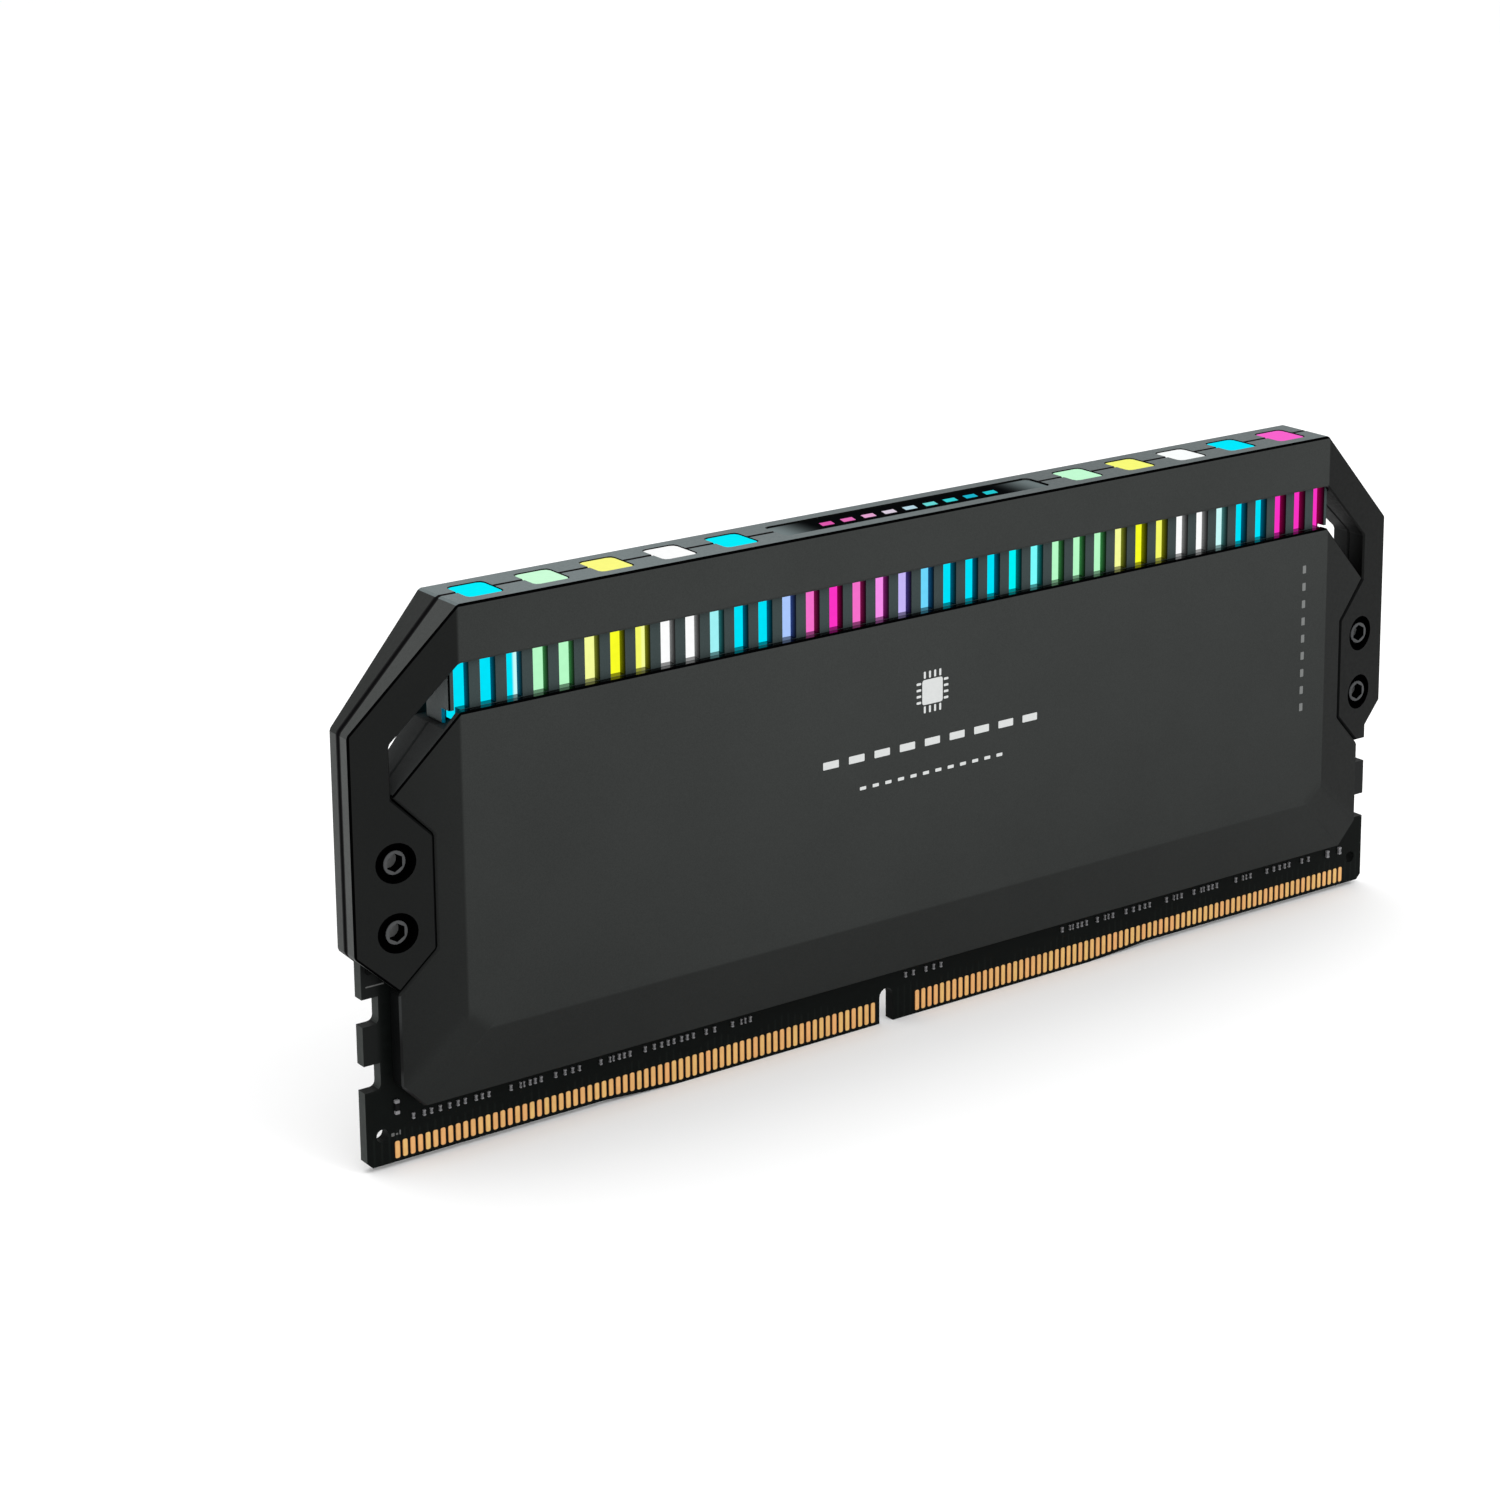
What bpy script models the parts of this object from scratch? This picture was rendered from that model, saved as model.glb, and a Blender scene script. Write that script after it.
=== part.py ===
"""Desktop memory module: edge-connector board between two faceted heat spreader plates,
with a bolted-on two-part frame, a slotted grille and a light bar that shows through the top.

Metres, +Z up. X runs along the module, the front face looks towards -Y.
The origin is the middle of the board's bottom edge, where it seats in its socket.
Run with: blender --background --python part.py
"""

import math

import bmesh
import bpy
from mathutils import Vector

MM = 0.001

# ---- driving dimensions, in millimetres --------------------------------------------------
# circuit board
BOARD_LENGTH = 133.35
BOARD_HEIGHT = 31.25
BOARD_THICK = 1.27
EDGE_STEP = 0.5  # the bottom edge is raised by this much towards both ends
STEP_LEFT = (-39.5, -30.6)  # where the raised edge starts and ends on the left
STEP_RIGHT = (24.65, 33.15)
CORNER_CUT = 0.6
KEY_CENTRE, KEY_WIDTH, KEY_TOP = -3.72, 1.8, 3.85
LATCH_INNER = 64.9  # half length inside the two latch notches
LATCH_LOW = (8.35, 11.1)
LATCH_HIGH = (15.1, 17.9)
LATCH_FILLET = 0.6  # at the inner lower corner of each latch notch
TOOLING_HOLE_X, TOOLING_HOLE_Z, TOOLING_HOLE_D = 64.9, 3.55, 1.35

# contacts
CONTACT_PITCH, CONTACT_WIDTH, CONTACT_THICK = 0.85, 0.6, 0.04
CONTACT_TOP = 2.62
CONTACT_EDGE_GAP = 0.35
CONTACTS_LEFT, CONTACTS_RIGHT, CONTACT_SKIPPED = 69, 75, 6
CONTACT_FIRST_X = -63.325

# overall body
TOP_Z = 56.0
HALF_THICK = 3.75  # at the flat middle
PLATEAU_X = 56.6  # the ends lean back outside this
FACET_SLOPE = 0.174
PLATEAU_LOW_Z = 13.2
PLATEAU_CORNER = 2.0
END_X = 67.8
SEAM = 0.02  # half the gap between the front and rear halves
GROOVE = 0.11  # between a spreader plate and the frame's pads

# frame
SHOULDER_Z = 44.6
PAD_LOW_Z = 22.6
PAD_TIP = (63.5, 18.55)
PAD_INNER_X = 59.7
PAD_INNER_LOW, PAD_INNER_HIGH = 22.35, 33.8
ARM_INNER_X = 63.75
ARM_INNER_LOW, ARM_INNER_HIGH = 37.9, 43.2
BAR_LOW_Z = 50.2

# spreader plates
PLATE_TOP_Z = 45.4
PLATE_SHOULDER_Z = 38.15
PLATE_SIDE_X = 63.6
PLATE_LOW_Z = 6.25
PLATE_CHAMFER_X, PLATE_CHAMFER_Z = 61.1, 8.85
POCKET_FLOOR = 2.2  # distance of the chip pocket's floor from the middle plane
BOARD_CLEAR = 0.75  # half width of the slot that the board sits in

# grille and light bar
SLIT_COUNT, SLIT_PITCH, SLIT_WIDTH = 39, 2.948, 1.72
GRILLE_X, GRILLE_Y = 57.4, 2.87
GRILLE_LOW_Z, GRILLE_TOP_Z = 43.9, 51.6
SLIT_LOW_Z, SLIT_TOP_Z = 45.42, 51.0
END_NOTCH_Y, END_NOTCH_TOP_Z = 1.4, 45.46  # clipped corners at both ends of the grille
LIGHT_Y = 1.84
WINDOW_XS = (22.7, 30.15, 37.6, 45.05, 52.5)
WINDOW_W, WINDOW_D, WINDOW_CORNER = 4.0, 4.4, 0.55
STRIP_X, STRIP_Y, STRIP_CORNER = 17.3, 2.04, 0.6
WINDOW_TOP_Z = 55.8  # all the windows sit a little below the frame's top

# screws
SCREW_X = 63.5
SCREW_ZS = {"lower": 24.55, "upper": 31.55}
BORE_D, BORE_FLOOR_Y = 4.05, 1.5
HEAD_D, HEAD_TOP_Y = 2.48, 2.33
SHANK_D, SHANK_END_Y = 1.5, 0.78
HEX_ACROSS, HEX_DEPTH = 1.58, 0.7
LUG_Y = 1.12  # outer face of the spreader's lugs behind the frame's pads

# chips
CHIP_XS = (18.5, 29.5, 40.5, 51.5)
CHIP_W, CHIP_H, CHIP_T, CHIP_Z = 8.1, 11.0, 1.0, 17.5
LED_COUNT, LED_PITCH = 11, 9.0


# ---- helpers -------------------------------------------------------------------------------
def clear_scene():
    for obj in list(bpy.data.objects):
        bpy.data.objects.remove(obj, do_unlink=True)


def new_collection(name):
    col = bpy.data.collections.new(name)
    bpy.context.scene.collection.children.link(col)
    return col


def material(name, color, rough, metal=0.0, glow=None, strength=0.0):
    mat = bpy.data.materials.new(name)
    mat.use_nodes = True
    mat.diffuse_color = (*color, 1.0)
    bsdf = mat.node_tree.nodes["Principled BSDF"]
    bsdf.inputs["Base Color"].default_value = (*color, 1.0)
    bsdf.inputs["Roughness"].default_value = rough
    bsdf.inputs["Metallic"].default_value = metal
    if glow:
        bsdf.inputs["Emission Color"].default_value = (*glow, 1.0)
        bsdf.inputs["Emission Strength"].default_value = strength
    return mat


def mesh_object(name, verts, faces, col, mat=None, parent=None):
    """A mesh object from points in millimetres, with its normals pointing out."""
    mesh = bpy.data.meshes.new(name)
    mesh.from_pydata([Vector(v) * MM for v in verts], [], faces)
    bm = bmesh.new()
    bm.from_mesh(mesh)
    bmesh.ops.recalc_face_normals(bm, faces=bm.faces)
    bm.to_mesh(mesh)
    bm.free()
    obj = bpy.data.objects.new(name, mesh)
    col.objects.link(obj)
    if mat:
        mesh.materials.append(mat)
    if parent:
        obj.parent = parent
    return obj


def box(name, lo, hi, col, mat=None, parent=None):
    x0, y0, z0 = lo
    x1, y1, z1 = hi
    verts = [(x, y, z) for z in (z0, z1) for x, y in ((x0, y0), (x1, y0), (x1, y1), (x0, y1))]
    faces = [(0, 1, 2, 3), (4, 5, 6, 7)]
    faces += [(i, (i + 1) % 4, (i + 1) % 4 + 4, i + 4) for i in range(4)]
    return mesh_object(name, verts, faces, col, mat, parent)


def prism(name, outline, axis, start, end, col, mat=None, parent=None):
    """A 2-D outline pushed along an axis: 'y' takes (x, z) points and 'z' takes (x, y) points."""

    def place(point, depth):
        return (point[0], depth, point[1]) if axis == "y" else (point[0], point[1], depth)

    n = len(outline)
    verts = [place(p, start) for p in outline] + [place(p, end) for p in outline]
    faces = [tuple(range(n)), tuple(range(n, 2 * n))]
    faces += [(i, (i + 1) % n, (i + 1) % n + n, i + n) for i in range(n)]
    return mesh_object(name, verts, faces, col, mat, parent)


def ring(radius, sides, centre=(0.0, 0.0), turn=0.0):
    step = 2 * math.pi / sides
    return [
        (centre[0] + radius * math.cos(turn + i * step), centre[1] + radius * math.sin(turn + i * step))
        for i in range(sides)
    ]


def add_boolean(target, cutter, operation="DIFFERENCE"):
    mod = target.modifiers.new(f"{operation.lower()} {cutter.name}", "BOOLEAN")
    mod.operation = operation
    mod.solver = "EXACT"
    mod.object = cutter
    cutter.hide_render = True
    cutter.display_type = "WIRE"


def add_bevel(target, width, segments=2, angle=30.0):
    mod = target.modifiers.new("soft edges", "BEVEL")
    mod.width = width * MM
    mod.segments = segments
    mod.limit_method = "ANGLE"
    mod.angle_limit = math.radians(angle)
    mod.harden_normals = False
    target.modifiers.new("flat facets", "TRIANGULATE")


def mirrored(points):
    """The right half of an outline, from its first point down, completed on the left."""
    return points + [(-x, z) for x, z in reversed(points)]


def lean(x, z=TOP_Z):
    """Distance of the outer surface from the middle plane."""
    back = max(abs(x) - PLATEAU_X, PLATEAU_LOW_Z - z, 0.0)
    return HALF_THICK - FACET_SLOPE * back


def faceted_slab(name, outline, regions, side, col, mat, parent):
    """A solid between the middle seam and an outer surface made of flat regions.

    side is -1 for the front half and +1 for the rear half."""
    index, verts = {}, []

    def outer(point):
        if point not in index:
            index[point] = len(verts)
            verts.append((point[0], side * lean(*point), point[1]))
        return index[point]

    faces = [tuple(outer(p) for p in region) for region in regions]
    loop = [outer(p) for p in outline]
    first = len(verts)
    verts += [(x, side * SEAM, z) for x, z in outline]
    n = len(outline)
    faces.append(tuple(range(first, first + n)))
    faces += [(loop[i], loop[(i + 1) % n], first + (i + 1) % n, first + i) for i in range(n)]
    return mesh_object(name, verts, faces, col, mat, parent)


def slot_box(name, side, x0, x1, y_in, y_out, z0, z1, col):
    """A cutter between two distances from the middle plane, on one side of it."""
    low, high = sorted((side * y_in, side * y_out))
    return box(name, (x0, low, z0), (x1, high, z1), col)


# ---- circuit board ---------------------------------------------------------------------------
def edge_height(x):
    """Height of the board's bottom edge: raised at both ends, with a ramp on each side."""
    if x <= STEP_LEFT[0] or x >= STEP_RIGHT[1]:
        return EDGE_STEP
    if x < STEP_LEFT[1]:
        return EDGE_STEP * (STEP_LEFT[1] - x) / (STEP_LEFT[1] - STEP_LEFT[0])
    if x > STEP_RIGHT[0]:
        return EDGE_STEP * (x - STEP_RIGHT[0]) / (STEP_RIGHT[1] - STEP_RIGHT[0])
    return 0.0


def latch_notch(low, high):
    """The right-hand notch from its lower outer corner up to its upper one."""
    r, steps = LATCH_FILLET, 5
    centre = (LATCH_INNER + r, low + r)
    points = [(BOARD_LENGTH / 2, low)]
    for i in range(steps + 1):
        a = math.radians(270 - 90 * i / steps)
        points.append((centre[0] + r * math.cos(a), centre[1] + r * math.sin(a)))
    return points + [(LATCH_INNER, high), (BOARD_LENGTH / 2, high)]


def board_outline():
    half, top = BOARD_LENGTH / 2, BOARD_HEIGHT
    right_side = [(half - CORNER_CUT, EDGE_STEP), (half, EDGE_STEP + CORNER_CUT)]
    right_side += latch_notch(*LATCH_LOW) + latch_notch(*LATCH_HIGH) + [(half, top)]
    left_side = [(-x, z) for x, z in reversed(right_side)]
    radius = KEY_WIDTH / 2
    arc_z = KEY_TOP - radius
    key = [(KEY_CENTRE - radius, 0.0)]
    for i in range(9):
        a = math.pi * (1 - i / 8)
        key.append((KEY_CENTRE + radius * math.cos(a), arc_z + radius * math.sin(a)))
    key.append((KEY_CENTRE + radius, 0.0))
    bottom = [(STEP_LEFT[0], EDGE_STEP), (STEP_LEFT[1], 0.0), *key]
    bottom += [(STEP_RIGHT[0], 0.0), (STEP_RIGHT[1], EDGE_STEP)]
    return bottom + right_side + left_side


def build_board(col, cutters, mats, root):
    half = BOARD_THICK / 2
    board = prism("circuit_board", board_outline(), "y", -half, half, col, mats["board"], root)
    for sign, word in ((-1, "left"), (1, "right")):
        hole = prism(
            f"cut_tooling_hole_{word}",
            ring(TOOLING_HOLE_D / 2, 16, (sign * TOOLING_HOLE_X, TOOLING_HOLE_Z)),
            "y", -2, 2, cutters,
        )
        add_boolean(board, hole)
    return board


def contact_comb(name, first, count, side, col, mat, root):
    """One bank of edge contacts, joined along the top by a thin strip."""
    xs = [CONTACT_FIRST_X + CONTACT_PITCH * (first + i) for i in range(count)]
    w, top = CONTACT_WIDTH / 2, CONTACT_TOP
    outline = [(xs[0] - w, top), (xs[-1] + w, top)]
    for i, x in enumerate(reversed(xs)):
        low = edge_height(x) + CONTACT_EDGE_GAP
        if i:
            outline.append((x + w, top - 0.12))
        outline += [(x + w, low), (x - w, low)]
        if i < count - 1:
            outline.append((x - w, top - 0.12))
    inner = BOARD_THICK / 2 + 0.02
    start, end = side * inner, side * (inner + CONTACT_THICK)
    return prism(name, outline, "y", start, end, col, mat, root)


def build_contacts(col, mats, root):
    right_first = CONTACTS_LEFT + CONTACT_SKIPPED
    for side, face in ((-1, "front"), (1, "rear")):
        contact_comb(f"contacts_{face}_left", 0, CONTACTS_LEFT, side, col, mats["gold"], root)
        contact_comb(
            f"contacts_{face}_right", right_first, CONTACTS_RIGHT, side, col, mats["gold"], root
        )


def chip(name, x, z, w, h, t, col, mat, root):
    """A package on the front of the board."""
    face = -BOARD_THICK / 2 - 0.03
    obj = box(name, (x - w / 2, face - t, z - h / 2), (x + w / 2, face, z + h / 2), col, mat, root)
    add_bevel(obj, 0.08, 1)
    return obj


def build_chips(col, mats, root):
    spots = [-x for x in reversed(CHIP_XS)] + list(CHIP_XS)
    for i, x in enumerate(spots, 1):
        chip(f"memory_chip_{i}", x, CHIP_Z, CHIP_W, CHIP_H, CHIP_T, col, mats["chip"], root)
    chip("power_controller", 0.0, 18.0, 5.0, 5.0, 0.8, col, mats["chip"], root)
    chip("hub_chip", -8.0, 12.5, 2.0, 3.0, 0.7, col, mats["chip"], root)
    for i, x in enumerate((-5.5, 0.0, 5.5), 1):
        chip(f"power_coil_{i}", x, 25.5, 4.0, 4.0, 1.2, col, mats["coil"], root)
    top = BOARD_THICK / 2 + 0.03 + CHIP_T + 0.03
    for sign, word in ((-1, "left"), (1, "right")):
        x0, x1 = sorted((sign * 13.2, sign * 56.4))
        low, high = (x0, -POCKET_FLOOR + 0.03, 11.0), (x1, -top, 24.0)
        box(f"thermal_pad_front_{word}", low, high, col, mats["pad"], root)
    low, high = (-55.0, BOARD_THICK / 2 + 0.03, 9.5), (55.0, POCKET_FLOOR - 0.03, 29.5)
    box("thermal_pad_rear", low, high, col, mats["pad"], root)


# ---- frame -------------------------------------------------------------------------------------
def frame_outline():
    """The right half from the top corner round to the bar's lower edge, then the left half."""
    right = [
        (PLATEAU_X, TOP_Z),
        (END_X, SHOULDER_Z),
        (END_X, PAD_LOW_Z),
        PAD_TIP,
        (PAD_INNER_X, PAD_INNER_LOW),
        (PAD_INNER_X, PAD_INNER_HIGH),
        (ARM_INNER_X, ARM_INNER_LOW),
        (ARM_INNER_X, ARM_INNER_HIGH),
        (PLATEAU_X, BAR_LOW_Z),
    ]
    return right


def window_outline(x, w, d, corner):
    """A window in plan: a rectangle with four softened corners."""
    near = corner * 0.3
    quarter = [(corner, 0.0), (near, near), (0.0, corner)]
    points = []
    for sx, sy in ((-1, -1), (-1, 1), (1, 1), (1, -1)):
        turn = quarter if sx * sy > 0 else quarter[::-1]
        points += [(x + sx * (w / 2 - dx), sy * (d / 2 - dy)) for dx, dy in turn]
    return points


def window_centres():
    return [-x for x in reversed(WINDOW_XS)] + list(WINDOW_XS)


def screw_spots():
    for sign, word in ((-1, "left"), (1, "right")):
        for level, z in SCREW_ZS.items():
            yield f"{word}_{level}", sign * SCREW_X, z


def screw_cutters(tag, side, cutters):
    """Counterbores and clearance holes for one half's four screws."""
    found = []
    for spot, x, z in screw_spots():
        bore = ring(BORE_D / 2, 28, (x, z))
        start, end = side * BORE_FLOOR_Y, side * (HALF_THICK + 1)
        found.append(prism(f"cut_bore_{tag}_{spot}", bore, "y", start, end, cutters))
        hole = ring(SHANK_D / 2 + 0.06, 16, (x, z))
        start, end = side * 0.3, side * (BORE_FLOOR_Y + 0.3)
        found.append(prism(f"cut_hole_{tag}_{spot}", hole, "y", start, end, cutters))
    return found


def build_frame(side, tag, col, cutters, mats, root):
    right = frame_outline()
    outline = mirrored(right)
    bar = [right[0], right[-1], (-right[-1][0], right[-1][1]), (-right[0][0], right[0][1])]
    left = [(-x, z) for x, z in right]
    frame = faceted_slab(
        f"frame_{tag}", outline, [bar, right, left], side, col, mats["frame"], root
    )
    add_bevel(frame, 0.2, 1)

    gx, gy = GRILLE_X + 0.05, GRILLE_Y + 0.05
    cuts = [
        slot_box(f"cut_light_{tag}", side, -gx, gx, -1, gy, 40, GRILLE_TOP_Z + 0.05, cutters),
        slot_box(f"cut_neck_{tag}", side, -55.4, 55.4, -1, 1.25, 50, 54.45, cutters),
        slot_box(f"cut_board_{tag}", side, -66.9, 66.9, -1, BOARD_CLEAR, -5, 31.6, cutters),
    ]
    strip = window_outline(0, 2 * (STRIP_X + 0.06), 2 * (STRIP_Y + 0.06), STRIP_CORNER)
    cuts.append(prism(f"cut_strip_{tag}", strip, "z", 54.95, 57, cutters))
    for i, x in enumerate(window_centres()):
        shape = window_outline(x, WINDOW_W + 0.1, WINDOW_D + 0.1, WINDOW_CORNER)
        cuts.append(prism(f"cut_window_{tag}_{i}", shape, "z", 54.2, 57, cutters))
    for sign, word in ((-1, "left"), (1, "right")):
        x0, x1 = sorted((sign * 57.0, sign * 66.3))
        cuts.append(
            slot_box(f"cut_lug_{tag}_{word}", side, x0, x1, 0, LUG_Y + 0.04, 20.3, 35.7, cutters)
        )
    for cutter in cuts + screw_cutters(tag, side, cutters):
        add_boolean(frame, cutter)
    return frame


# ---- heat spreader plates -----------------------------------------------------------------------
def plate_outline():
    """The right half of a spreader plate, from the top corner down to the bottom corner."""
    inner = PAD_INNER_X - GROOVE
    reach = PLATE_SIDE_X - inner
    return [
        (PLATEAU_X, PLATE_TOP_Z),
        (ARM_INNER_X - GROOVE, PLATE_SHOULDER_Z - 0.05),
        (inner, PAD_INNER_HIGH + 0.05),
        (inner, PAD_INNER_LOW - 0.05),
        (PLATE_SIDE_X, PAD_INNER_LOW - 0.05 - reach),
        (PLATE_SIDE_X, PLATE_CHAMFER_Z),
        (PLATE_CHAMFER_X, PLATE_LOW_Z),
    ]


def plate_regions(right):
    """The flat parts of a plate's outer face: plateau, ends, lower margin and lower corners."""
    high = (PLATEAU_X, PLATEAU_LOW_Z + PLATEAU_CORNER)
    low = (PLATEAU_X - 2.3, PLATEAU_LOW_Z)

    def flip(points):
        return [(-x, z) for x, z in points]

    plateau = [right[0], high, low, *flip([low, high, right[0]])]
    end = [*right[:-1], high]
    corners = [[high, right[-2], low], [low, right[-2], right[-1]]]
    margin = [low, right[-1], *flip([right[-1], low])]
    regions = [plateau, end, flip(end), margin, *corners, *[flip(c) for c in corners]]
    return regions


def build_spreader(side, tag, col, cutters, mats, root):
    right = plate_outline()
    plate = faceted_slab(
        f"heat_spreader_{tag}",
        mirrored(right),
        plate_regions(right),
        side, col, mats["spreader"], root,
    )
    add_bevel(plate, 0.18, 1)
    for sign, word in ((-1, "left"), (1, "right")):
        x0, x1 = sorted((sign * 58.0, sign * 66.2))
        lug = slot_box(
            f"join_lug_{tag}_{word}", side, x0, x1, BOARD_CLEAR + 0.02, LUG_Y, 20.5, 35.5, cutters
        )
        add_boolean(plate, lug, "UNION")
    gx, gy = GRILLE_X + 0.05, GRILLE_Y + 0.05
    cuts = [
        slot_box(f"cut_plate_board_{tag}", side, -70, 70, -1, BOARD_CLEAR, -5, 31.6, cutters),
        slot_box(f"cut_chips_{tag}", side, -57, 57, 0, POCKET_FLOOR, 8.4, 30.6, cutters),
        slot_box(f"cut_cavity_{tag}", side, -52.5, 52.5, -1, 2.0, 33.0, 42.6, cutters),
        slot_box(f"cut_led_row_{tag}", side, -52, 52, -1, 0.95, 42.0, 46, cutters),
        slot_box(f"cut_grille_seat_{tag}", side, -70, 70, -1, gy, GRILLE_LOW_Z - 0.05, 46, cutters),
        slot_box(f"cut_link_{tag}", side, 19.5, 26.5, -1, 1.5, 31.0, 34.0, cutters),
    ]
    for spot, x, z in screw_spots():
        hole = ring(SHANK_D / 2 + 0.06, 16, (x, z))
        cuts.append(
            prism(f"cut_thread_{tag}_{spot}", hole, "y", side * 0.3, side * 1.4, cutters)
        )
    for cutter in cuts:
        add_boolean(plate, cutter)
    return plate


def build_screws(side, tag, col, cutters, mats, root):
    """Socket-head screws: head in the counterbore, shank through the pad and the lug."""
    for spot, x, z in screw_spots():
        head = prism(
            f"screw_{tag}_{spot}",
            ring(HEAD_D / 2, 28, (x, z)),
            "y", side * (BORE_FLOOR_Y + 0.03), side * HEAD_TOP_Y, col, mats["screw"], root,
        )
        add_bevel(head, 0.1, 2)
        shank = prism(
            f"join_shank_{tag}_{spot}",
            ring(SHANK_D / 2, 16, (x, z)),
            "y", side * SHANK_END_Y, side * (BORE_FLOOR_Y + 0.08), cutters,
        )
        add_boolean(head, shank, "UNION")
        socket = prism(
            f"cut_socket_{tag}_{spot}",
            ring(HEX_ACROSS / math.sqrt(3), 6, (x, z), math.pi / 6),
            "y", side * (HEAD_TOP_Y - HEX_DEPTH), side * (HEAD_TOP_Y + 1), cutters,
        )
        add_boolean(head, socket)


# ---- lighting ------------------------------------------------------------------------------------
def build_grille(col, cutters, mats, root):
    """A slotted tube round the light bar, open above and below."""
    low = (-GRILLE_X, -GRILLE_Y, GRILLE_LOW_Z)
    grille = box("grille", low, (GRILLE_X, GRILLE_Y, GRILLE_TOP_Z), col, mats["grille"], root)
    add_bevel(grille, 0.15, 1)
    well = box("cut_grille_well", (-57.0, -1.88, 40), (57.0, 1.88, 55), cutters)
    add_boolean(grille, well)
    for sx, sy, word in ((-1, -1, "a"), (1, -1, "b"), (-1, 1, "c"), (1, 1, "d")):
        x0, x1 = sorted((sx * 56.2, sx * 57.6))
        y0, y1 = sorted((sy * END_NOTCH_Y, sy * 3.2))
        notch = box(f"cut_end_notch_{word}", (x0, y0, 43.5), (x1, y1, END_NOTCH_TOP_Z), cutters)
        add_boolean(grille, notch)
    for i in range(SLIT_COUNT):
        x = (i - (SLIT_COUNT - 1) / 2) * SLIT_PITCH
        slit = box(
            f"cut_slit_{i:02d}",
            (x - SLIT_WIDTH / 2, -5, SLIT_LOW_Z),
            (x + SLIT_WIDTH / 2, 5, SLIT_TOP_Z),
            cutters,
        )
        add_boolean(grille, slit)
    return grille


def build_light_bar(col, cutters, mats, root):
    """Diffuser: a wide lower bar behind the slits, a neck, and ten pads up to the top windows."""
    bar = box("light_bar", (-56.8, -LIGHT_Y, 44.3), (56.8, LIGHT_Y, 50.6), col, mats["light"], root)
    neck = box("join_neck", (-55.3, -1.2, 50.4), (55.3, 1.2, 54.4), cutters)
    add_boolean(bar, neck, "UNION")
    for i, x in enumerate(window_centres()):
        shape = window_outline(x, WINDOW_W, WINDOW_D, WINDOW_CORNER)
        pad = prism(f"join_pad_{i}", shape, "z", 54.26, WINDOW_TOP_Z, cutters)
        add_boolean(bar, pad, "UNION")
    strip = window_outline(0, 2 * STRIP_X, 2 * STRIP_Y, STRIP_CORNER)
    prism("centre_window", strip, "z", 54.98, WINDOW_TOP_Z, col, mats["smoke"], root)
    return bar


def build_led_board(col, mats, root):
    box("led_board", (-50, -0.4, 33.3), (50, 0.4, 43.0), col, mats["board"], root)
    for i in range(LED_COUNT):
        x = (i - (LED_COUNT - 1) / 2) * LED_PITCH
        box(f"led_{i + 1:02d}", (x - 1.0, -0.6, 43.03), (x + 1.0, 0.6, 43.95), col, mats["led"], root)
    box("board_link", (20, -1.1, 31.3), (26, 1.1, 33.25), col, mats["socket"], root)


# ---- assembly ------------------------------------------------------------------------------------
def build_materials():
    return {
        "board": material("black circuit board", (0.012, 0.012, 0.014), 0.45),
        "gold": material("gold plating", (0.86, 0.56, 0.24), 0.28, 1.0),
        "chip": material("moulded chip package", (0.02, 0.02, 0.022), 0.6),
        "coil": material("moulded power coil", (0.05, 0.05, 0.055), 0.55),
        "pad": material("grey thermal pad", (0.30, 0.32, 0.34), 0.9),
        "frame": material("dark painted frame", (0.045, 0.047, 0.046), 0.55, 0.2),
        "spreader": material("dark painted spreader", (0.045, 0.048, 0.046), 0.5, 0.2),
        "grille": material("grey grille plastic", (0.07, 0.078, 0.082), 0.45),
        "light": material("lit diffuser", (0.8, 0.9, 0.95), 0.5, 0.0, (0.2, 0.85, 1.0), 2.0),
        "smoke": material("smoked window", (0.008, 0.008, 0.010), 0.12),
        "led": material("led package", (0.85, 0.85, 0.8), 0.4),
        "socket": material("connector plastic", (0.75, 0.72, 0.64), 0.5),
        "screw": material("dark steel screw", (0.16, 0.17, 0.17), 0.35, 1.0),
    }


def main():
    clear_scene()
    bpy.context.scene.unit_settings.system = "METRIC"
    module = new_collection("memory_module")
    cutters = new_collection("cutters")
    mats = build_materials()
    root = bpy.data.objects.new("memory_module_root", None)
    module.objects.link(root)

    build_board(module, cutters, mats, root)
    build_contacts(module, mats, root)
    build_chips(module, mats, root)
    for side, tag in ((-1, "front"), (1, "rear")):
        build_spreader(side, tag, module, cutters, mats, root)
        build_frame(side, tag, module, cutters, mats, root)
        build_screws(side, tag, module, cutters, mats, root)
    build_grille(module, cutters, mats, root)
    build_light_bar(module, cutters, mats, root)
    build_led_board(module, mats, root)


main()
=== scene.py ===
import bpy, bmesh, math
from mathutils import Matrix, Vector


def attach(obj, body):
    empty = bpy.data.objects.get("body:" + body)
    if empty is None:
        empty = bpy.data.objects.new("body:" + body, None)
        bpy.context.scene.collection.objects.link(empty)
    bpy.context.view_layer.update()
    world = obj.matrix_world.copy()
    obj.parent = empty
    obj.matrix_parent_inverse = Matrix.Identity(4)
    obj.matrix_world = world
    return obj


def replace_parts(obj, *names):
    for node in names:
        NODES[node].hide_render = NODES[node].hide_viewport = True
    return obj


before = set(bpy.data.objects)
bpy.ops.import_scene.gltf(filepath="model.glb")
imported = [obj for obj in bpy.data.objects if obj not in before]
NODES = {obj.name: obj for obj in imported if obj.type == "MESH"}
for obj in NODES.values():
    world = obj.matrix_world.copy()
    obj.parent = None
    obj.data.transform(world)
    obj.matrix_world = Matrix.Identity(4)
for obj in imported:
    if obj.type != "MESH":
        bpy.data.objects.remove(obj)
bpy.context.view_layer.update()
MM = 0.001

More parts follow.
